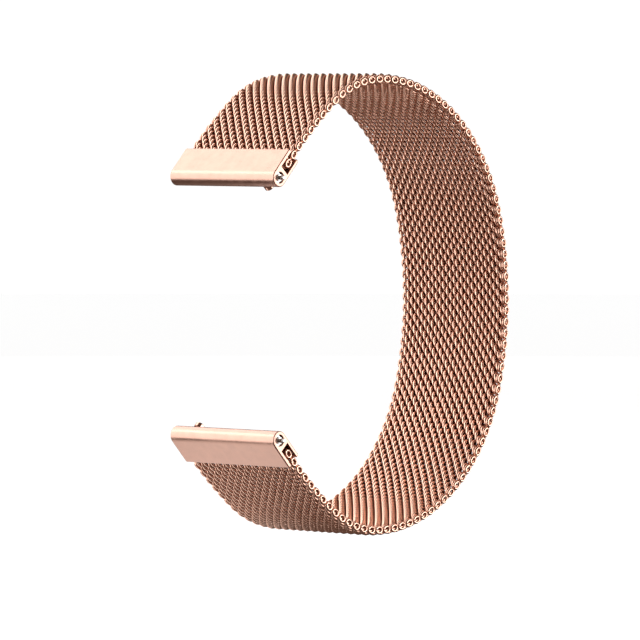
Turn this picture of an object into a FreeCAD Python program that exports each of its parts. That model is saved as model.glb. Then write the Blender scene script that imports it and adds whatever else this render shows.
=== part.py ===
import FreeCAD, Part
import math
import os
import re
import Sketcher

# A watch band of woven wire mesh with a quick-release spring bar at each end.
# Frame: X across the band, -Y the way the watch faces, +Z up. The origin is the
# centre of the upper spring bar. The mesh is bent into an open C round a wrist.
# The mesh is a run of short panels, each a few wire spirals long. Every panel
# has a half-round nose that turns in a round hollow of the panel before it.

SIZES = [
    # the mesh and its curve, measured on the middle of its thickness
    ("mesh_width", 21.8, "width of the mesh, a close fit between lugs 22 apart"),
    ("mesh_thick", 1.9, "thickness of the woven mesh"),
    ("end_radius", 73.0, "gentle curve next to each end sleeve"),
    ("end_angle", 9.5, "angle of that curve"),
    ("bend_radius", 18.9, "tight bend over the side of the wrist"),
    ("bend_angle", 33.5, "angle of that bend"),
    ("shoulder_radius", 29.2, "curve from the side of the wrist to its underside"),
    ("shoulder_angle", 77.0, "angle of that curve"),
    ("back_radius", 51.2, "flat curve under the wrist"),
    ("back_angle", 32.0, "angle of the whole of that curve"),
    ("end_panels", 2, "panels in each end curve"),
    ("bend_panels", 2, "panels in each tight bend"),
    ("shoulder_panels", 6, "panels in each shoulder curve"),
    ("back_panels", 4, "panels in the flat curve"),
    ("hinge_gap", 0.05, "radial gap between a panel's nose and its hollow"),
    # the end sleeve
    ("jaw_length", 3.3, "how far the jaws reach over the mesh"),
    ("jaw_wall", 0.5, "thickness of each jaw"),
    ("jaw_round", 0.3, "rounding of the jaw lips"),
    ("rim_round", 0.2, "rounding of the sleeve's side rims"),
    ("bar_gap", 0.04, "radial gap between the barrel and the spring bar"),
    # the spring bar
    ("tube_radius", 0.9, "outside of the spring bar tube"),
    ("tube_bore", 0.66, "bore of the tube"),
    ("tube_inset", 0.4, "how far each tube end lies inside the sleeve's end"),
    ("crimp_length", 0.4, "length of the crimped tube end"),
    ("shank_radius", 0.52, "radius of a plunger where it slides through the crimp"),
    ("tip_radius", 0.36, "radius of the tip that enters the lug"),
    ("tip_reach", 0.95, "how far a tip stands out past the mesh's edge"),
    ("tip_round", 0.15, "rounding of the tip's end"),
    ("run_gap", 0.04, "radial gap of a sliding plunger or tip"),
    ("seat_gap", 0.03, "end gap where a plunger rests at the crimp or the spring"),
    ("guide_length", 2.2, "length of the plain plunger's guide"),
    ("release_guide_length", 5.0, "length of the release plunger's guide"),
    ("travel", 1.3, "how far each plunger slides in"),
    # the release knob
    ("knob_inset", 3.6, "distance of the knob from the sleeve's end"),
    ("pin_radius", 0.36, "radius of the knob's pin"),
    ("knob_radius", 0.75, "radius of the knob's head"),
    ("knob_height", 0.8, "height of the knob's head"),
    ("knob_round", 0.25, "rounding of the knob's head"),
    ("knob_clear", 0.12, "gap between the knob's head and the barrel"),
    ("slot_clear", 0.06, "gap all round the pin at the ends of its slots"),
    # the spring in the tube
    ("coil_clear", 0.08, "radial gap between the coil spring and the tube's bore"),
    ("wire_radius", 0.1, "radius of the spring's wire"),
    ("coil_pitch", 0.62, "pitch of the coil spring"),
]

# a length or a volume smaller than this counts as nothing
NEAR = 1e-4

# the stretches of the curve, from the upper sleeve to the lower one
STRETCHES = ("end", "bend", "shoulder", "back", "shoulder", "bend", "end")

doc = FreeCAD.newDocument("mesh_band")
sheet = doc.addObject("Spreadsheet::Sheet", "sizes")
for row, (alias, value, note) in enumerate(SIZES, start=1):
    sheet.set(f"A{row}", alias)
    sheet.set(f"B{row}", str(value))
    sheet.set(f"C{row}", note)
    sheet.setAlias(f"B{row}", alias)
doc.recompute()


def size(alias):
    """The number that a cell of the sheet holds."""
    return float(sheet.get(alias))


def cell(text):
    """An expression with every alias in it pointed at the sheet."""
    names = [alias for alias, _, _ in SIZES]
    return re.sub("[a-z_]+", lambda m: f"sizes.{m[0]}" if m[0] in names else m[0], text)


def evaluate(text):
    """The value of an expression of aliases, for a sketch's first shape."""
    value = sheet.evalExpression(text)
    return float(getattr(value, "Value", value))


def bind(thing, prop, text):
    """Tie a property to the sheet."""
    thing.setExpression(prop, cell(text))


# ---------------------------------------------------------------- sketches


def new_body(label):
    body = doc.addObject("PartDesign::Body", label)
    body.Label = label
    return body


def new_sketch(body, plane, name):
    """A sketch on one of the body's own origin planes."""
    sketch = body.newObject("Sketcher::SketchObject", f"{body.Name}_{name}")
    support = [f for f in body.Origin.OriginFeatures if f.Role == plane][0]
    sketch.AttachmentSupport = [(support, "")]
    sketch.MapMode = "FlatFace"
    return sketch


def bound(sketch, constraint, text):
    """Add a dimension and tie it to the sheet."""
    index = sketch.addConstraint(constraint)
    sketch.setExpression(f"Constraints[{index}]", cell(text))
    return index


def circle(sketch, radius, across="0", up="0"):
    """A circle whose centre and radius follow the sheet."""
    centre = FreeCAD.Vector(evaluate(across), evaluate(up), 0)
    ring = Part.Circle(centre, FreeCAD.Vector(0, 0, 1), evaluate(radius))
    shape = sketch.addGeometry(ring)
    bound(sketch, Sketcher.Constraint("Radius", shape, evaluate(radius)), radius)
    place(sketch, shape, 3, across, up)
    return shape


def place(sketch, shape, point, across, up):
    """Tie a point of a shape to distances from the sketch's origin."""
    for kind, axis, text in (("DistanceX", -2, across), ("DistanceY", -1, up)):
        value = evaluate(text)
        if text == "0":
            sketch.addConstraint(Sketcher.Constraint("PointOnObject", shape, point, axis))
        elif value < 0:
            bound(sketch, Sketcher.Constraint(kind, shape, point, -1, 1, -value), f"-( {text} )")
        else:
            bound(sketch, Sketcher.Constraint(kind, -1, 1, shape, point, value), text)


def outline(sketch, corners):
    """A closed outline of straight lines through corners given as pairs of expressions."""
    numbers = [tuple(evaluate(text) for text in corner) for corner in corners]
    points = [FreeCAD.Vector(a, b, 0) for a, b in numbers]
    lines = []
    for here, there in zip(points, points[1:] + points[:1]):
        lines.append(sketch.addGeometry(Part.LineSegment(here, there)))
    for this, after in zip(lines, lines[1:] + lines[:1]):
        sketch.addConstraint(Sketcher.Constraint("Coincident", this, 2, after, 1))
    for line, corner in zip(lines, corners):
        place(sketch, line, 1, *corner)


def pad(body, sketch, length):
    feature = body.newObject("PartDesign::Pad", f"{sketch.Name}_pad")
    feature.Profile = sketch
    feature.SideType = "Symmetric"
    bind(feature, "Length", length)
    sketch.Visibility = False
    doc.recompute()
    return feature


def cut_through(body, sketch):
    """A pocket right through the body, both ways from its sketch."""
    before = body.Shape.Volume
    feature = body.newObject("PartDesign::Pocket", f"{sketch.Name}_cut")
    feature.Profile = sketch
    feature.Type = "ThroughAll"
    feature.SideType = "Symmetric"
    doc.recompute()
    assert body.Shape.Volume < before - NEAR, f"{feature.Name} cuts nothing"
    return feature


def cut_down(body, sketch, depth):
    """A pocket from its sketch towards -Z of the body."""
    before = body.Shape.Volume
    feature = body.newObject("PartDesign::Pocket", f"{sketch.Name}_cut")
    feature.Profile = sketch
    bind(feature, "Length", depth)
    doc.recompute()
    assert body.Shape.Volume < before - NEAR, f"{feature.Name} cuts nothing"
    return feature


def turn(body, sketch, role):
    """A full turn of a sketch about one of the body's own axes."""
    feature = body.newObject("PartDesign::Revolution", f"{sketch.Name}_turn")
    feature.Profile = sketch
    axis = [f for f in body.Origin.OriginFeatures if f.Role == role][0]
    feature.ReferenceAxis = (axis, [""])
    feature.Angle = 360
    doc.recompute()
    return feature


# ---------------------------------------------------------------- the curve of the band


def end_heading():
    """How far the mesh leans back, in degrees from +Y, where it leaves the upper sleeve."""
    half = size("end_angle") + size("bend_angle") + size("shoulder_angle") + size("back_angle") / 2
    return half - 90


def barrel_radius():
    """Outside of the barrel round the spring bar, which runs on into the jaws."""
    return size("mesh_thick") / 2 + size("jaw_wall")


def sleeve_reach():
    """From the spring bar's centre to the lip of the jaws."""
    return barrel_radius() + size("jaw_length")


def walk():
    """Each panel's stretch, its start and its heading, from the upper sleeve to the lower one."""
    heading = end_heading()
    y = sleeve_reach() * math.cos(math.radians(heading))
    z = sleeve_reach() * math.sin(math.radians(heading))
    steps = []
    for stretch in STRETCHES:
        radius = size(f"{stretch}_radius")
        count = int(size(f"{stretch}_panels"))
        angle = size(f"{stretch}_angle") / count
        for _ in range(count):
            steps.append((stretch, y, z, heading))
            across = radius * math.sin(math.radians(angle))
            drop = radius * (1 - math.cos(math.radians(angle)))
            lean = math.radians(heading)
            y += across * math.cos(lean) + drop * math.sin(lean)
            z += across * math.sin(lean) - drop * math.cos(lean)
            heading -= angle
    return steps, (y, z, heading)


STEPS, (LAST_Y, LAST_Z, LAST_HEADING) = walk()
UPPER = FreeCAD.Placement(
    FreeCAD.Vector(0, 0, 0),
    FreeCAD.Rotation(FreeCAD.Vector(1, 0, 0), end_heading()),
)
LOWER = FreeCAD.Placement(
    FreeCAD.Vector(
        0,
        LAST_Y + sleeve_reach() * math.cos(math.radians(LAST_HEADING)),
        LAST_Z + sleeve_reach() * math.sin(math.radians(LAST_HEADING)),
    ),
    FreeCAD.Rotation(FreeCAD.Vector(1, 0, 0), LAST_HEADING + 180)
    * FreeCAD.Rotation(FreeCAD.Vector(0, 1, 0), 180),
)


# ---------------------------------------------------------------- mesh panels


def mesh_panel(label, stretch, nose, hollow):
    """A length of mesh along +Y that curves towards -Z, with a square or a round start."""
    body = new_body(label)
    radius = f"{stretch}_radius"
    turned = f"( {stretch}_angle / {stretch}_panels * 1 deg )"
    r = size(radius)
    half = size("mesh_thick") / 2
    lean = math.radians(size(f"{stretch}_angle") / size(f"{stretch}_panels"))
    up = FreeCAD.Vector(0, 0, 1)
    centre = FreeCAD.Vector(0, -r, 0)
    along = FreeCAD.Vector(math.sin(lean), math.cos(lean), 0)
    quarter = math.pi / 2
    sketch = new_sketch(body, "YZ_Plane", "side")
    outer = sketch.addGeometry(
        Part.ArcOfCircle(Part.Circle(centre, up, r + half), quarter - lean, quarter)
    )
    inner = sketch.addGeometry(
        Part.ArcOfCircle(Part.Circle(centre, up, r - half), quarter - lean, quarter)
    )
    finish = sketch.addGeometry(
        Part.LineSegment(centre + along * (r - half), centre + along * (r + half))
    )
    if nose:
        round_start = Part.Circle(FreeCAD.Vector(0, 0, 0), up, half)
        start = sketch.addGeometry(Part.ArcOfCircle(round_start, quarter, 3 * quarter))
        sketch.addConstraint(Sketcher.Constraint("Coincident", start, 3, -1, 1))
    else:
        square_start = (FreeCAD.Vector(0, half, 0), FreeCAD.Vector(0, -half, 0))
        start = sketch.addGeometry(Part.LineSegment(*square_start))
        bound(sketch, Sketcher.Constraint("Radius", inner, r - half), f"{radius} - mesh_thick / 2")
    for this, point, other, end in (
        (start, 1, outer, 2),
        (start, 2, inner, 2),
        (inner, 3, outer, 3),
        (finish, 1, inner, 1),
        (finish, 2, outer, 1),
    ):
        sketch.addConstraint(Sketcher.Constraint("Coincident", this, point, other, end))
    sketch.addConstraint(Sketcher.Constraint("PointOnObject", outer, 2, -2))
    sketch.addConstraint(Sketcher.Constraint("PointOnObject", inner, 2, -2))
    place(sketch, outer, 3, "0", f"-{radius}")
    bound(sketch, Sketcher.Constraint("Radius", outer, r + half), f"{radius} + mesh_thick / 2")
    for arc, side, sign in ((outer, r + half, "+"), (inner, r - half, "-")):
        reach = Sketcher.Constraint("DistanceX", -1, 1, arc, 1, side * math.sin(lean))
        bound(sketch, reach, f"( {radius} {sign} mesh_thick / 2 ) * sin{turned}")
    pad(body, sketch, "mesh_width")
    if hollow:
        seat = new_sketch(body, "YZ_Plane", "hollow")
        circle(
            seat,
            "mesh_thick / 2 + hinge_gap",
            f"{radius} * sin{turned}",
            f"{radius} * cos{turned} - {radius}",
        )
        cut_through(body, seat)
    return body


def build_mesh():
    """All the panels, and the last rows of mesh inside each pair of jaws."""
    for number, (stretch, y, z, heading) in enumerate(STEPS, start=1):
        panel = mesh_panel(
            f"mesh_panel_{number:02d}", stretch, number > 1, number < len(STEPS)
        )
        turned = FreeCAD.Rotation(FreeCAD.Vector(1, 0, 0), heading)
        panel.Placement = FreeCAD.Placement(FreeCAD.Vector(0, y, z), turned)
        finished.append(panel)
    for end, frame in ENDS.items():
        rows = doc.addObject("Part::Box", f"{end}_mesh_end")
        rows.Label = f"{end}_mesh_end"
        bind(rows, "Length", "mesh_width")
        bind(rows, "Width", "jaw_length - seat_gap")
        bind(rows, "Height", "mesh_thick")
        corner = FreeCAD.Vector(
            -size("mesh_width") / 2,
            barrel_radius() + size("seat_gap"),
            -size("mesh_thick") / 2,
        )
        rows.Placement = frame * FreeCAD.Placement(corner, FreeCAD.Rotation())
        finished.append(rows)


# ---------------------------------------------------------------- end fittings
# Each fitting is drawn with the spring bar along X at the origin, the mesh
# towards +Y and the outside of the band towards +Z. The knob is towards -Z.

BARREL = "( mesh_thick / 2 + jaw_wall )"
TUBE_END = "( mesh_width / 2 - tube_inset )"
SHOULDER = f"( {TUBE_END} - crimp_length - seat_gap )"
TIP_START = "( mesh_width / 2 )"
TIP_END = "( mesh_width / 2 + tip_reach )"
GUIDE = "( tube_bore - run_gap )"
KNOB_PLACE = "( mesh_width / 2 - knob_inset )"


def long_slot(sketch):
    """The stadium that the release knob's pin runs in, along X."""
    radius = evaluate("pin_radius + slot_clear")
    high = evaluate(KNOB_PLACE)
    low = high - size("travel")
    up = FreeCAD.Vector(0, 0, 1)
    quarter = math.pi / 2
    right = sketch.addGeometry(
        Part.ArcOfCircle(Part.Circle(FreeCAD.Vector(high, 0, 0), up, radius), -quarter, quarter)
    )
    left = sketch.addGeometry(
        Part.ArcOfCircle(Part.Circle(FreeCAD.Vector(low, 0, 0), up, radius), quarter, 3 * quarter)
    )
    top = sketch.addGeometry(
        Part.LineSegment(FreeCAD.Vector(high, radius, 0), FreeCAD.Vector(low, radius, 0))
    )
    bottom = sketch.addGeometry(
        Part.LineSegment(FreeCAD.Vector(low, -radius, 0), FreeCAD.Vector(high, -radius, 0))
    )
    for this, point, other, end in (
        (right, 2, top, 1),
        (top, 2, left, 1),
        (left, 2, bottom, 1),
        (bottom, 2, right, 1),
    ):
        sketch.addConstraint(Sketcher.Constraint("Tangent", this, point, other, end))
    bound(sketch, Sketcher.Constraint("Radius", right, radius), "pin_radius + slot_clear")
    place(sketch, right, 3, KNOB_PLACE, "0")
    place(sketch, left, 3, f"{KNOB_PLACE} - travel", "0")


def round_edges(body, wanted, radius, name):
    """Round the edges of the body that the test picks."""
    edges = [f"Edge{i}" for i, edge in enumerate(body.Shape.Edges, start=1) if wanted(edge)]
    assert edges, f"{body.Label} has no edge for {name}"
    base = body.Tip
    feature = body.newObject("PartDesign::Fillet", f"{body.Name}_{name}")
    feature.Base = (base, edges)
    bind(feature, "Radius", radius)
    doc.recompute()
    return feature


def sleeve_outline(sketch, lip):
    """A half-round nose round the bar that runs on into two flat sides up to the lip."""
    radius = barrel_radius()
    reach = sleeve_reach()
    nose = Part.Circle(FreeCAD.Vector(0, 0, 0), FreeCAD.Vector(0, 0, 1), radius)
    nose = sketch.addGeometry(Part.ArcOfCircle(nose, math.pi / 2, 3 * math.pi / 2))
    corners = [(0, -radius), (reach, -radius), (reach, radius), (0, radius)]
    corners = [FreeCAD.Vector(a, b, 0) for a, b in corners]
    under, front, over = [
        sketch.addGeometry(Part.LineSegment(here, there))
        for here, there in zip(corners[:-1], corners[1:])
    ]
    for this, point, other, end in (
        (nose, 3, -1, 1),
        (nose, 2, under, 1),
        (under, 2, front, 1),
        (front, 2, over, 1),
        (over, 2, nose, 1),
    ):
        sketch.addConstraint(Sketcher.Constraint("Coincident", this, point, other, end))
    for line in (under, over):
        sketch.addConstraint(Sketcher.Constraint("Horizontal", line))
    sketch.addConstraint(Sketcher.Constraint("Vertical", front))
    sketch.addConstraint(Sketcher.Constraint("PointOnObject", nose, 1, -2))
    bound(sketch, Sketcher.Constraint("Radius", nose, radius), BARREL)
    bound(sketch, Sketcher.Constraint("DistanceX", -1, 1, front, 1, reach), lip)


def end_sleeve(end):
    """Barrel and two jaws in one, with a slot for the mesh, a bore and a window for the knob."""
    body = new_body(f"{end}_end_sleeve")
    lip = f"{BARREL} + jaw_length"
    section = new_sketch(body, "YZ_Plane", "section")
    sleeve_outline(section, lip)
    pad(body, section, "mesh_width")
    slot = new_sketch(body, "YZ_Plane", "slot")
    past = f"{lip} + jaw_length"
    outline(
        slot,
        [
            (BARREL, "-mesh_thick / 2"),
            (past, "-mesh_thick / 2"),
            (past, "mesh_thick / 2"),
            (BARREL, "mesh_thick / 2"),
        ],
    )
    cut_through(body, slot)
    bore = new_sketch(body, "YZ_Plane", "bore")
    circle(bore, "tube_radius + bar_gap")
    cut_through(body, bore)
    window = new_sketch(body, "XY_Plane", "window")
    long_slot(window)
    cut_down(body, window, f"{BARREL} * 2")

    def jaw_lip(edge):
        box = edge.BoundBox
        high = abs(abs(box.ZMin) - barrel_radius()) < NEAR and box.ZLength < NEAR
        return high and box.YLength < NEAR and abs(box.YMin - sleeve_reach()) < NEAR

    def side_rim(edge):
        box = edge.BoundBox
        flat = box.XLength < NEAR and abs(abs(box.XMin) - size("mesh_width") / 2) < NEAR
        high = abs(abs(box.ZMin) - barrel_radius()) < NEAR
        return flat and high and (box.ZLength < NEAR or box.YMin < -NEAR)

    round_edges(body, jaw_lip, "jaw_round", "lips")
    round_edges(body, side_rim, "rim_round", "rims")
    return body


def bar_tube(end):
    """The spring bar's tube, crimped at both ends, with a slot for the knob's pin."""
    body = new_body(f"{end}_bar_tube")
    hole = "shank_radius + run_gap"
    inside = f"( {TUBE_END} - crimp_length )"
    side = new_sketch(body, "XY_Plane", "wall")
    outline(
        side,
        [
            (f"-{TUBE_END}", hole),
            (f"-{TUBE_END}", "tube_radius"),
            (TUBE_END, "tube_radius"),
            (TUBE_END, hole),
            (inside, hole),
            (inside, "tube_bore"),
            (f"-{inside}", "tube_bore"),
            (f"-{inside}", hole),
        ],
    )
    turn(body, side, "X_Axis")
    slot = new_sketch(body, "XY_Plane", "slot")
    long_slot(slot)
    cut_down(body, slot, "tube_radius * 2")
    return body


def tip_edge(edge):
    """The end rim of a plunger's tip."""
    flat = edge.BoundBox.XLength < NEAR
    return flat and abs(abs(edge.BoundBox.Center.x) - evaluate(TIP_END)) < NEAR


def plain_plunger(end):
    """The plunger that only slides, towards -X."""
    body = new_body(f"{end}_plain_plunger")
    side = new_sketch(body, "XY_Plane", "side")
    foot = f"-( {SHOULDER} - guide_length )"
    outline(
        side,
        [
            (f"-{TIP_END}", "0"),
            (f"-{TIP_END}", "tip_radius"),
            (f"-{TIP_START}", "tip_radius"),
            (f"-{TIP_START}", "shank_radius"),
            (f"-{SHOULDER}", "shank_radius"),
            (f"-{SHOULDER}", GUIDE),
            (foot, GUIDE),
            (foot, "0"),
        ],
    )
    turn(body, side, "X_Axis")
    round_edges(body, tip_edge, "tip_round", "nose")
    return body


def release_plunger(end):
    """The plunger that the knob pulls in, towards +X, with a seat for the knob's pin."""
    body = new_body(f"{end}_release_plunger")
    side = new_sketch(body, "XY_Plane", "side")
    foot = f"( {SHOULDER} - release_guide_length )"
    outline(
        side,
        [
            (TIP_END, "0"),
            (TIP_END, "tip_radius"),
            (TIP_START, "tip_radius"),
            (TIP_START, "shank_radius"),
            (SHOULDER, "shank_radius"),
            (SHOULDER, GUIDE),
            (foot, GUIDE),
            (foot, "0"),
        ],
    )
    turn(body, side, "X_Axis")
    round_edges(body, tip_edge, "tip_round", "nose")
    seat = new_sketch(body, "XY_Plane", "seat")
    circle(seat, "pin_radius", KNOB_PLACE)
    cut_down(body, seat, "tube_bore * 2")
    return body


def release_knob(end):
    """A pin with a round head, about its own Z axis."""
    body = new_body(f"{end}_release_knob")
    neck = f"-( {BARREL} + knob_clear )"
    top = f"-( {BARREL} + knob_clear + knob_height )"
    side = new_sketch(body, "XZ_Plane", "side")
    outline(
        side,
        [
            ("0", "-seat_gap"),
            ("pin_radius", "-seat_gap"),
            ("pin_radius", neck),
            ("knob_radius", neck),
            ("knob_radius", top),
            ("0", top),
        ],
    )
    turn(body, side, "Z_Axis")

    def head_rim(edge):
        return edge.BoundBox.ZLength < NEAR and abs(edge.BoundBox.ZMin - evaluate(top)) < NEAR

    round_edges(body, head_rim, "knob_round", "head")
    return body


def bar_spring(end):
    """The coil spring between the two plungers."""
    body = new_body(f"{end}_bar_spring")
    left = f"-( {SHOULDER} - guide_length )"
    right = f"( {SHOULDER} - release_guide_length )"
    middle = "tube_bore - coil_clear - wire_radius"
    wire = new_sketch(body, "XY_Plane", "wire")
    circle(wire, "wire_radius", f"{left} + seat_gap + wire_radius", middle)
    coil = body.newObject("PartDesign::AdditiveHelix", f"{end}_coil")
    coil.Profile = wire
    axis = [f for f in body.Origin.OriginFeatures if f.Role == "X_Axis"][0]
    coil.ReferenceAxis = (axis, [""])
    coil.Mode = "pitch-height-angle"
    bind(coil, "Pitch", "coil_pitch")
    bind(coil, "Height", f"{right} - {left} - 2 * ( seat_gap + wire_radius )")
    doc.recompute()
    return body


def build_end(end, frame):
    """One sleeve with its spring bar and knob."""
    for make in (end_sleeve, bar_tube, bar_spring, plain_plunger, release_plunger):
        body = make(end)
        body.Placement = frame
        finished.append(body)
    knob = release_knob(end)
    across = FreeCAD.Vector(evaluate(KNOB_PLACE), 0, 0)
    knob.Placement = frame * FreeCAD.Placement(across, FreeCAD.Rotation())
    finished.append(knob)


# ---------------------------------------------------------------- build, check and write

finished = []
ENDS = {"upper": UPPER, "lower": LOWER}
build_mesh()
for end, frame in ENDS.items():
    build_end(end, frame)
doc.recompute()

for thing in doc.Objects:
    bad = [state for state in thing.State if state in ("Invalid", "Error")]
    assert not bad, f"{thing.Label} is {bad}"
for piece in finished:
    assert not piece.Shape.isNull() and piece.Shape.isValid(), f"{piece.Label} has a bad shape"
    assert len(piece.Shape.Solids) == 1, f"{piece.Label} is {len(piece.Shape.Solids)} solids"

os.makedirs("parts", exist_ok=True)
for piece in finished:
    piece.Shape.exportStep(f"parts/{piece.Label}.step")
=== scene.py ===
import bisect
import math
import random

import bmesh
import bpy
from mathutils import Matrix, Vector


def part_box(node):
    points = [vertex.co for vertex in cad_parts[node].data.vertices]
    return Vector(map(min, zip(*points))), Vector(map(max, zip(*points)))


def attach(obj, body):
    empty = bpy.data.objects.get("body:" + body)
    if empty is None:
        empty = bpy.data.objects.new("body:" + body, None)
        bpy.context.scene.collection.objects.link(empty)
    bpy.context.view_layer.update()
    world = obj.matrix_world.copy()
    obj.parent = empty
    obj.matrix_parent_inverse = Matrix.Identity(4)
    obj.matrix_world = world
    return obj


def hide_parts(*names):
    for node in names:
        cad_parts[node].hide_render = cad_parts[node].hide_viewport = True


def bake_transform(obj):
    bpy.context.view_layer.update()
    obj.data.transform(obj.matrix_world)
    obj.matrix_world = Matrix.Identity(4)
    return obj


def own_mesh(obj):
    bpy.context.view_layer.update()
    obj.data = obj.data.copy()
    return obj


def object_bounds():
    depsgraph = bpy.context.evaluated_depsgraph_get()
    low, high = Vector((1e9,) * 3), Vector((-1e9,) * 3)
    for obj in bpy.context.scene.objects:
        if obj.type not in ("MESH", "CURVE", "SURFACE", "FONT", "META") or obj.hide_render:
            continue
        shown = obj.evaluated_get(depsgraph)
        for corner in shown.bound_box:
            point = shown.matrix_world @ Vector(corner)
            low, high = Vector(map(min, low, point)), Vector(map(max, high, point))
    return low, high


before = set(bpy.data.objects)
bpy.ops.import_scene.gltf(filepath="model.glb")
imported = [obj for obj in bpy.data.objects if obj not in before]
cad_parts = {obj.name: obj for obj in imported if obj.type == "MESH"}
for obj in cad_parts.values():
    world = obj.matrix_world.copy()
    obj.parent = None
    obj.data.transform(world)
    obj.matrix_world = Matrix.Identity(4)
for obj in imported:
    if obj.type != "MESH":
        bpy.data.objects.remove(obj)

frame_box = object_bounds()

# A watch band of woven wire mesh, open as a C, with a sleeve and a quick-release
# spring bar at each end. Everything is in metres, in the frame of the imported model:
# X across the band, -Y the way the watch faces, +Z up, origin in the upper spring bar.

# ---------------------------------------------------------------- the woven mesh
# Rose gold plated steel wire, wound into flat spirals that run across the band, each
# threaded through the one before. At the edges every other spiral closes into a ring,
# and the ends of the spirals between are welded inside those rings.

MM = 0.001
MESH_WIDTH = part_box("mesh_panel_01")[1].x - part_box("mesh_panel_01")[0].x
MESH_THICK = 1.9 * MM
WIRE = 0.5 * MM
WIRE_SIDES = 6
TURN_STEPS = 12
SPIRAL_GAP = 0.912 * MM
SPIRAL_DEPTH = 2.28 * MM
SPIRAL_TURNS = 14
PITCH = (MESH_WIDTH - WIRE) / SPIRAL_TURNS
RING_SHORTER = 0.32
RING_THINNER = 0.36
# How far the wire in the last pitch at each edge is held lighter and glossier, out of the
# painted shade of the weave
EDGE_RING_LIFT = 0.85
END_INSET = 0.12 * MM
SLIP = 0.04 * MM

# Each stretch of the band's curve: radius, whole angle in degrees and panels
END_CURVE = (73.0 * MM, 9.5, 2)
SIDE_BEND = (18.9 * MM, 33.5, 2)
SHOULDER = (29.2 * MM, 77.0, 6)
BACK = (51.2 * MM, 32.0, 4)
STRETCHES = (END_CURVE, SIDE_BEND, SHOULDER, BACK, SHOULDER, SIDE_BEND, END_CURVE)
START_LEAN = sum(angle for _, angle, _ in STRETCHES) / 2 - 90
SLEEVE_REACH = 4.75 * MM
JAW_DEPTH = 3.27 * MM


class Panel:
    """One stretch of the mesh between two hinges, with a constant curve."""

    def __init__(self, start, place, lean, radius, turned):
        self.start = start
        self.place = place
        self.lean = lean
        self.radius = radius
        self.turned = turned
        self.length = radius * turned

    def at(self, along):
        """The middle of the mesh and its lean, a distance along from the panel's start."""
        turned = along / self.radius
        over = self.radius * math.sin(turned)
        down = self.radius * (1 - math.cos(turned))
        forward = Vector((0, math.cos(self.lean), math.sin(self.lean)))
        inward = Vector((0, math.sin(self.lean), -math.cos(self.lean)))
        return self.place + forward * over + inward * down, self.lean - turned


def panels_of_band():
    """Every panel in order from the upper sleeve to the lower one."""
    lean = math.radians(START_LEAN)
    place = Vector((0, math.cos(lean), math.sin(lean))) * SLEEVE_REACH
    start = 0.0
    panels = []
    for radius, angle, count in STRETCHES:
        for _ in range(count):
            panel = Panel(start, place, lean, radius, math.radians(angle) / count)
            panels.append(panel)
            place, lean = panel.at(panel.length)
            start += panel.length
    return panels


PANELS = panels_of_band()
BAND_LENGTH = PANELS[-1].start + PANELS[-1].length
STARTS = [panel.start for panel in PANELS]


def on_band(along):
    """The middle of the mesh and its lean at a distance along the whole band."""
    if along < 0:
        first = PANELS[0]
        forward = Vector((0, math.cos(first.lean), math.sin(first.lean)))
        return first.place + forward * along, first.lean
    if along > BAND_LENGTH:
        place, lean = PANELS[-1].at(PANELS[-1].length)
        forward = Vector((0, math.cos(lean), math.sin(lean)))
        return place + forward * (along - BAND_LENGTH), lean
    panel = PANELS[bisect.bisect_right(STARTS, along) - 1]
    return panel.at(along - panel.start)


def wound_wire(name, runs, side, shorter, thinner):
    """A right-handed spiral along X, wound in runs of some turns and an advance a turn.

    Over the last pitch at each end it loses a share of its reach along the band and a
    share of its thickness.
    """
    height = (MESH_THICK - WIRE) / 2
    depth = (SPIRAL_DEPTH - WIRE) / 2
    start = -sum(turns * advance for turns, advance in runs) / 2
    wire = bmesh.new()
    ring = bmesh.ops.create_circle(wire, segments=WIRE_SIDES, radius=WIRE / 2)["verts"]
    bmesh.ops.translate(wire, verts=ring, vec=(start, side * height, 0))
    last = list(wire.edges)
    for turns, advance in runs:
        spun = bmesh.ops.spin(
            wire,
            geom=last,
            cent=(0, 0, 0),
            axis=(1, 0, 0),
            dvec=(advance / TURN_STEPS, 0, 0),
            angle=2 * math.pi * turns,
            steps=round(turns * TURN_STEPS),
        )
        last = [item for item in spun["geom_last"] if isinstance(item, bmesh.types.BMEdge)]
    bmesh.ops.holes_fill(wire, edges=[e for e in wire.edges if e.is_boundary], sides=WIRE_SIDES)
    bmesh.ops.scale(wire, verts=wire.verts, vec=(1, depth / height, 1))
    for vert in wire.verts:
        past = abs(vert.co.x) - (MESH_WIDTH / 2 - PITCH)
        drawn_in = min(max(past / PITCH, 0), 1) ** 2
        vert.co.y *= 1 - shorter * drawn_in
        vert.co.z *= 1 - thinner * drawn_in
    bmesh.ops.recalc_face_normals(wire, faces=wire.faces)
    for face in wire.faces:
        face.smooth = True
    mesh = bpy.data.meshes.new(name)
    wire.to_mesh(mesh)
    wire.free()
    return mesh


CLOSED_RUNS = ((1, 0), (SPIRAL_TURNS, PITCH), (1, 0))
CLOSED_SPIRAL = wound_wire("closed_spiral", CLOSED_RUNS, 1, RING_SHORTER, RING_THINNER)
LAST_PITCH = PITCH - 2 * END_INSET
WELDED_RUNS = ((0.5, LAST_PITCH), (SPIRAL_TURNS - 1, PITCH), (0.5, LAST_PITCH))
WELDED_SPIRAL = wound_wire("welded_spiral", WELDED_RUNS, -1, 0, RING_THINNER)


def metal_finish(name):
    """A new metal material, with its node tree and its shader."""
    made = bpy.data.materials.new(name)
    made.use_nodes = True
    shader = made.node_tree.nodes["Principled BSDF"]
    shader.inputs["Metallic"].default_value = 1.0
    return made, made.node_tree, shader


def speckle(tree, place, scale, detail):
    """Uneven spots over the metal, finer with a larger scale."""
    spots = tree.nodes.new("ShaderNodeTexNoise")
    spots.inputs["Scale"].default_value = scale
    spots.inputs["Detail"].default_value = detail
    tree.links.new(place, spots.inputs["Vector"])
    return spots.outputs["Fac"]


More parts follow.
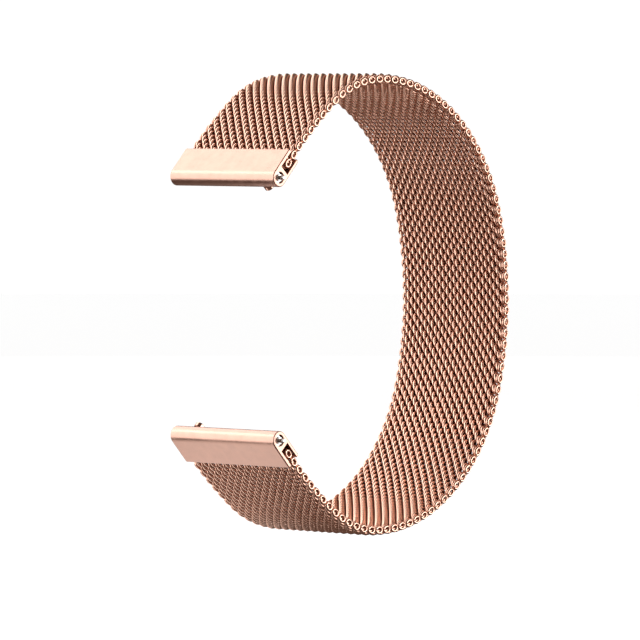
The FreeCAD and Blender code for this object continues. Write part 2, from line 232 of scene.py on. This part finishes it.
def add_share(tree, first, second, share=1.0):
    """A share of the first amount added to the second."""
    total = tree.nodes.new("ShaderNodeMath")
    total.operation = "MULTIPLY_ADD"
    total.inputs[1].default_value = share
    tree.links.new(first, total.inputs[0])
    tree.links.new(second, total.inputs[2])
    return total.outputs[0]


def tint(tree, shader, amount, dark, light):
    """Colour the metal by an amount. Dark and light each hold an amount and its colour."""
    ramp = tree.nodes.new("ShaderNodeValToRGB")
    for stop, (position, colour) in zip(ramp.color_ramp.elements, (dark, light)):
        stop.position = position
        stop.color = (*colour, 1)
    tree.links.new(amount, ramp.inputs["Fac"])
    tree.links.new(ramp.outputs["Color"], shader.inputs["Base Color"])


def roughen(tree, shader, amount, first, last):
    """Set the roughness by an amount. First and last each hold an amount and a roughness."""
    gloss = tree.nodes.new("ShaderNodeMapRange")
    gloss.inputs["From Min"].default_value = first[0]
    gloss.inputs["From Max"].default_value = last[0]
    gloss.inputs["To Min"].default_value = first[1]
    gloss.inputs["To Max"].default_value = last[1]
    tree.links.new(amount, gloss.inputs["Value"])
    tree.links.new(gloss.outputs["Result"], shader.inputs["Roughness"])


def emboss(tree, shader, height, strength, distance):
    """Raise the surface a little where the height is large."""
    bump = tree.nodes.new("ShaderNodeBump")
    bump.inputs["Strength"].default_value = strength
    bump.inputs["Distance"].default_value = distance
    tree.links.new(height, bump.inputs["Height"])
    tree.links.new(bump.outputs["Normal"], shader.inputs["Normal"])


def mesh_wire_finish():
    """Plated wire: glossier on the crowns and rougher down in the weave, with its colour
    darkened down in the weave as painted shade.
    """
    made, tree, shader = metal_finish("rose_gold_wire")
    crown = tree.nodes.new("ShaderNodeAttribute")
    crown.attribute_name = "crown"
    place = tree.nodes.new("ShaderNodeTexCoord").outputs["Object"]
    mottle = speckle(tree, place, scale=900, detail=3)
    # Random mottle added to the crown value: where it is low the ramp turns the colour dark
    # brown, painted shade down in the weave, and the wire is rougher
    shade_and_mottle = add_share(tree, mottle, crown.outputs["Fac"], share=0.3)
    tint(tree, shader, shade_and_mottle, dark=(0.42, (0.30, 0.10, 0.05)), light=(1, (0.95, 0.60, 0.46)))
    roughen(tree, shader, shade_and_mottle, first=(0.2, 0.42), last=(1.2, 0.2))
    grain = speckle(tree, place, scale=9000, detail=2)
    emboss(tree, shader, grain, strength=0.12, distance=0.02 * MM)
    return made


MESH_WIRE = mesh_wire_finish()
CHANCE = random.Random(5)

# The spirals fill the band and both pairs of jaws, with an equal margin at each end
ROOM = BAND_LENGTH + 2 * JAW_DEPTH - SPIRAL_DEPTH
SPIRALS = int(ROOM / SPIRAL_GAP) + 1
FIRST_SPIRAL = (BAND_LENGTH - (SPIRALS - 1) * SPIRAL_GAP) / 2


def weave(name, numbers):
    """A piece of the mesh: the spirals with these numbers, each set square to the band."""
    rows = bmesh.new()
    crown = rows.verts.layers.float.new("crown")
    for number in numbers:
        before = len(rows.verts)
        rows.from_mesh(CLOSED_SPIRAL if number % 2 == 0 else WELDED_SPIRAL)
        rows.verts.ensure_lookup_table()
        added = rows.verts[before:]
        for vert in added:
            # Crown is 0 in the middle of the mesh and 1 on its faces; the wire finish paints
            # shade into the colour where it is low, and the wire in the last pitch at each edge
            # is held lighter
            past_edge = 1 - (MESH_WIDTH / 2 - abs(vert.co.x)) / PITCH
            vert[crown] = max(2 * abs(vert.co.z) / MESH_THICK, EDGE_RING_LIFT * past_edge)
        place, lean = on_band(number * SPIRAL_GAP + FIRST_SPIRAL)
        slipped = Vector((CHANCE.uniform(0, SLIP) if number % 2 else 0, 0, 0))
        set_square = Matrix.Translation(place + slipped) @ Matrix.Rotation(lean, 4, "X")
        bmesh.ops.transform(rows, matrix=set_square, verts=added)
    mesh = bpy.data.meshes.new(name)
    rows.to_mesh(mesh)
    rows.free()
    mesh.materials.append(MESH_WIRE)
    piece = bpy.data.objects.new(name, mesh)
    bpy.context.collection.objects.link(piece)
    return piece


def spirals_between(low, high):
    """The numbers of the spirals whose middle lies between two distances along the band."""
    return [n for n in range(SPIRALS) if low <= FIRST_SPIRAL + n * SPIRAL_GAP < high]


MIDDLES = [panel.start + panel.length / 2 for panel in PANELS]
upper_rows = weave("weave_upper_end", spirals_between(-SLEEVE_REACH, MIDDLES[0]))
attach(upper_rows, "upper_end")
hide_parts("upper_mesh_end")
for number in range(1, len(PANELS)):
    low, high = MIDDLES[number - 1 : number + 1]
    piece = weave(f"weave_rows_{number:02d}", spirals_between(low, high))
    on_band(low + SPIRAL_GAP)[0]
    on_band(high - SPIRAL_GAP)[0]
    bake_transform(piece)
    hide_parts(f"mesh_panel_{number:02d}")
lower_rows = weave("weave_lower_end", spirals_between(MIDDLES[-1], BAND_LENGTH + SLEEVE_REACH))
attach(lower_rows, "lower_end")
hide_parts(f"mesh_panel_{len(PANELS):02d}", "lower_mesh_end")


# ---------------------------------------------------------------- end sleeves
# Each sleeve is one length of drawn steel with a bore for the spring bar and two
# jaws that are pressed and welded over the last rows of mesh. It is blasted,
# brushed along its length and plated rose gold.

BRUSH_STRETCH = 0.03
CLOUDED = 0.86


def plated_finish(name, colour, smooth, rough, brushed):
    """Plated steel with fine brush lines along X and a faint cloudiness in the gloss."""
    made, tree, shader = metal_finish(name)
    place = tree.nodes.new("ShaderNodeTexCoord").outputs["Object"]
    stretch = tree.nodes.new("ShaderNodeMapping")
    stretch.inputs["Scale"].default_value = (BRUSH_STRETCH, 1, 1)
    tree.links.new(place, stretch.inputs["Vector"])
    lines = speckle(tree, stretch.outputs["Vector"], scale=14000, detail=4)
    cloud = speckle(tree, place, scale=600, detail=4)
    clouded = tuple(part * CLOUDED for part in colour)
    tint(tree, shader, cloud, dark=(0.3, clouded), light=(0.7, colour))
    mixed = add_share(tree, lines, cloud)
    roughen(tree, shader, mixed, first=(0.6, smooth), last=(1.4, rough))
    emboss(tree, shader, lines, strength=brushed, distance=0.01 * MM)
    return made


def finish_node(node, material):
    """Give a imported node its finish."""
    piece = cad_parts[node]
    piece.data.materials.clear()
    piece.data.materials.append(material)


# The sleeves' rose gold is set darker than the same plating on the knobs and the wire: painted
# shade against the bright reflection of the lamps on their flat faces
SHADED_SATIN_PLATING = plated_finish(
    "satin_rose_gold_painted_shade", (0.62, 0.38, 0.30), smooth=0.26, rough=0.42, brushed=0.5
)
for end in ("upper", "lower"):
    finish_node(f"{end}_end_sleeve", SHADED_SATIN_PLATING)


# ---------------------------------------------------------------- release knobs
# A turned pin with a round head, pressed into the release plunger. A fingernail
# pulls it along its slot. It is polished and plated like the mesh.

POLISHED_PLATING = plated_finish(
    "polished_rose_gold", (0.84, 0.52, 0.40), smooth=0.1, rough=0.2, brushed=0.15
)
for end in ("upper", "lower"):
    finish_node(f"{end}_release_knob", POLISHED_PLATING)


# ---------------------------------------------------------------- spring bars
# A steel tube with crimped ends holds two turned plungers, one at each end.
# They are bare bright steel, with fine rings left by the lathe.

STAINED = 0.8


def turned_steel(name, ring_gap, colour):
    """Bare steel with fine rings round X and a slightly uneven gloss."""
    made, tree, shader = metal_finish(name)
    place = tree.nodes.new("ShaderNodeTexCoord").outputs["Object"]
    rings = tree.nodes.new("ShaderNodeTexWave")
    rings.bands_direction = "X"
    rings.inputs["Scale"].default_value = math.pi / (10 * ring_gap)
    rings.inputs["Distortion"].default_value = 0.6
    tree.links.new(place, rings.inputs["Vector"])
    cloud = speckle(tree, place, scale=1200, detail=3)
    stained = tuple(part * STAINED for part in colour)
    tint(tree, shader, cloud, dark=(0, stained), light=(1, colour))
    roughen(tree, shader, cloud, first=(0, 0.18), last=(1, 0.36))
    emboss(tree, shader, rings.outputs["Fac"], strength=0.3, distance=0.004 * MM)
    return made


BRIGHT_STEEL = turned_steel("bright_turned_steel", 0.06 * MM, (0.72, 0.71, 0.69))
for end in ("upper", "lower"):
    for part in ("bar_tube", "plain_plunger", "release_plunger"):
        finish_node(f"{end}_{part}", BRIGHT_STEEL)


# ---------------------------------------------------------------- bar springs
# The coil spring inside each tube pushes the two plungers apart. It is wound
# from drawn spring wire, left with a dull grey skin. Each half of the coil is a
# piece of its own.

SPRING_WIRE = turned_steel("drawn_spring_wire", 0.03 * MM, (0.50, 0.50, 0.52))
COIL_WIRE = 0.2 * MM
COIL_PITCH = 0.62 * MM
COIL_SIDES = 8
COIL_STEPS = 20


def half_coil(end, plunger):
    """The half of a bar's spring from its middle to one plunger."""
    low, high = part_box(f"{end}_bar_spring")
    middle = (low + high) / 2
    half_length = (high.x - low.x) / 2
    radius = (high.y - low.y - COIL_WIRE) / 2
    plunger_low, plunger_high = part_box(f"{end}_{plunger}_plunger")
    side = math.copysign(1, plunger_low.x + plunger_high.x - low.x - high.x)
    wound = half_length - COIL_WIRE / 2
    steps = round(wound / COIL_PITCH * COIL_STEPS)
    coil = bmesh.new()
    ring = bmesh.ops.create_circle(coil, segments=COIL_SIDES, radius=COIL_WIRE / 2)["verts"]
    bmesh.ops.translate(coil, verts=ring, vec=middle + Vector((0, radius, 0)))
    bmesh.ops.spin(
        coil,
        geom=list(coil.verts) + list(coil.edges),
        cent=middle,
        axis=(1, 0, 0),
        dvec=(side * wound / steps, 0, 0),
        angle=side * 2 * math.pi * wound / COIL_PITCH,
        steps=steps,
    )
    bmesh.ops.holes_fill(coil, edges=[e for e in coil.edges if e.is_boundary], sides=COIL_SIDES)
    bmesh.ops.recalc_face_normals(coil, faces=coil.faces)
    for face in coil.faces:
        face.smooth = True
    name = f"{end}_bar_spring_{plunger}_half"
    mesh = bpy.data.meshes.new(name)
    coil.to_mesh(mesh)
    coil.free()
    mesh.materials.append(SPRING_WIRE)
    piece = bpy.data.objects.new(name, mesh)
    bpy.context.collection.objects.link(piece)
    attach(piece, f"{end}_end")
    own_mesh(piece)
    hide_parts(f"{end}_bar_spring")


for end in ("upper", "lower"):
    for plunger in ("plain", "release"):
        half_coil(end, plunger)


# ---------------------------------------------------------------- floor, light and camera
# Pale paper below the band that sweeps up into a low round wall, large soft lamps at
# its left and right, a small one near the floor, and a long lens about level with it.

FLOOR_DROP = 40 * MM
STUDIO_RADIUS = 2.5
STUDIO_HEIGHT = 0.4
SWEEP_RADIUS = 0.2
SWEEP_STEPS = 8
ROUND_STEPS = 96


def studio_sheet():
    """A pale floor that sweeps up into a round wall of the same paper."""
    made = bpy.data.materials.new("pale_paper")
    made.use_nodes = True
    shader = made.node_tree.nodes["Principled BSDF"]
    shader.inputs["Base Color"].default_value = (0.25, 0.25, 0.25, 1)
    shader.inputs["Roughness"].default_value = 0.9
    shader.inputs["Emission Color"].default_value = (1, 1, 1, 1)
    shader.inputs["Emission Strength"].default_value = 0.93
    sheet = bmesh.new()
    corners = (
        (0, 0),
        (STUDIO_RADIUS - SWEEP_RADIUS, 0),
        (STUDIO_RADIUS, SWEEP_RADIUS),
        (STUDIO_RADIUS, STUDIO_HEIGHT),
    )
    verts = [sheet.verts.new((out, 0, up)) for out, up in corners]
    edges = [sheet.edges.new(pair) for pair in zip(verts, verts[1:])]
    bmesh.ops.bevel(
        sheet,
        geom=verts[1:3],
        affect="VERTICES",
        offset=SWEEP_RADIUS / 2,
        segments=SWEEP_STEPS,
        profile=0.5,
        material=-1,
    )
    bmesh.ops.spin(
        sheet,
        geom=list(sheet.verts) + list(sheet.edges),
        cent=(0, 0, 0),
        axis=(0, 0, 1),
        angle=2 * math.pi,
        steps=ROUND_STEPS,
        use_merge=True,
    )
    bmesh.ops.remove_doubles(sheet, verts=sheet.verts, dist=MM)
    bmesh.ops.translate(sheet, verts=sheet.verts, vec=(0, 0, frame_box[0][2] - FLOOR_DROP))
    for face in sheet.faces:
        face.smooth = True
    mesh = bpy.data.meshes.new("floor")
    sheet.to_mesh(mesh)
    sheet.free()
    mesh.materials.append(made)
    floor = bpy.data.objects.new("floor", mesh)
    floor.visible_glossy = False
    bpy.context.collection.objects.link(floor)


studio_sheet()

AIM = Vector((-0.36, 21.78, -22.76)) * MM
CAMERA_TURN = math.radians(41.8)
CAMERA_RISE = math.radians(2.3)
CAMERA_DISTANCE = 900 * MM
FRAME_WIDTH = 100.7 * MM


def looking_from(turn, rise):
    """The direction from the band to a place round it."""
    return Vector(
        (
            math.sin(turn) * math.cos(rise),
            -math.cos(turn) * math.cos(rise),
            math.sin(rise),
        )
    )


def softbox(name, turn, rise, distance, width, height, power):
    """A rectangular lamp that faces the band."""
    lamp = bpy.data.lights.new(name, "AREA")
    lamp.shape = "RECTANGLE"
    lamp.size = width
    lamp.size_y = height
    lamp.energy = power
    holder = bpy.data.objects.new(name, lamp)
    holder.visible_camera = False
    bpy.context.collection.objects.link(holder)
    out = looking_from(math.radians(turn), math.radians(rise))
    holder.location = AIM + out * distance
    holder.rotation_euler = out.to_track_quat("Z", "Y").to_euler()


softbox("front left", turn=-45, rise=12, distance=0.9, width=2.2, height=1.2, power=18)
softbox("upper left", turn=-95, rise=50, distance=0.9, width=1.1, height=0.8, power=6)
softbox("right", turn=118, rise=8, distance=0.9, width=1.2, height=0.9, power=13)
softbox("floor left", turn=-75, rise=-58, distance=0.07, width=0.1, height=0.035, power=0.012)

world = bpy.data.worlds.new("studio")
world.use_nodes = True
world.node_tree.nodes["Background"].inputs["Color"].default_value = (1, 0.7, 0.58, 1)
world.node_tree.nodes["Background"].inputs["Strength"].default_value = 0.12
bpy.context.scene.world = world
bpy.context.scene.view_settings.view_transform = "Standard"

lens = bpy.data.cameras.new("camera")
lens.lens = lens.sensor_width * CAMERA_DISTANCE / FRAME_WIDTH
camera = bpy.data.objects.new("camera", lens)
bpy.context.collection.objects.link(camera)
out = looking_from(CAMERA_TURN, CAMERA_RISE)
camera.location = AIM + out * CAMERA_DISTANCE
camera.rotation_euler = out.to_track_quat("Z", "Y").to_euler()
bpy.context.scene.camera = camera

# ---------------------------------------------------------------- final update

bpy.context.view_layer.update()
